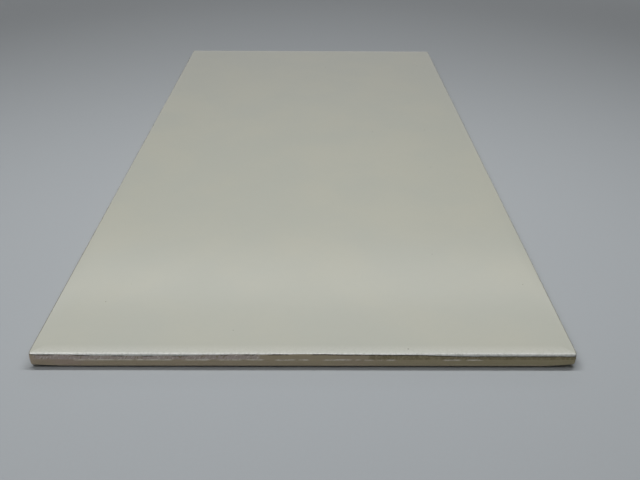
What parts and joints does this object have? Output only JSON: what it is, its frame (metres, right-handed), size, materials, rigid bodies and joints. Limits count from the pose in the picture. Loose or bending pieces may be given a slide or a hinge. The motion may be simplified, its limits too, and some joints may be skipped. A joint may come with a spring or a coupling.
{
  "type": "wall tile",
  "caption": "Rectangular dry-pressed ceramic wall tile with a plain cream satin-glazed face, a cushioned rim, unglazed drafted edges and a ribbed back that keys into adhesive.",
  "frame": {"origin": "centre of the plane that the back ribs rest on", "axes": "+Z is the glazed face's normal, +Y runs along the length and +X across the width"},
  "size_m": [0.3, 0.6, 0.01],
  "materials": {
    "glazed_body": "cream satin glaze on the face and its rounded rim, bare buff fired body on the edges and back"
  },
  "bodies": {
    "root": {"wall_tile": "glazed_body"}
  },
  "joints": []
}
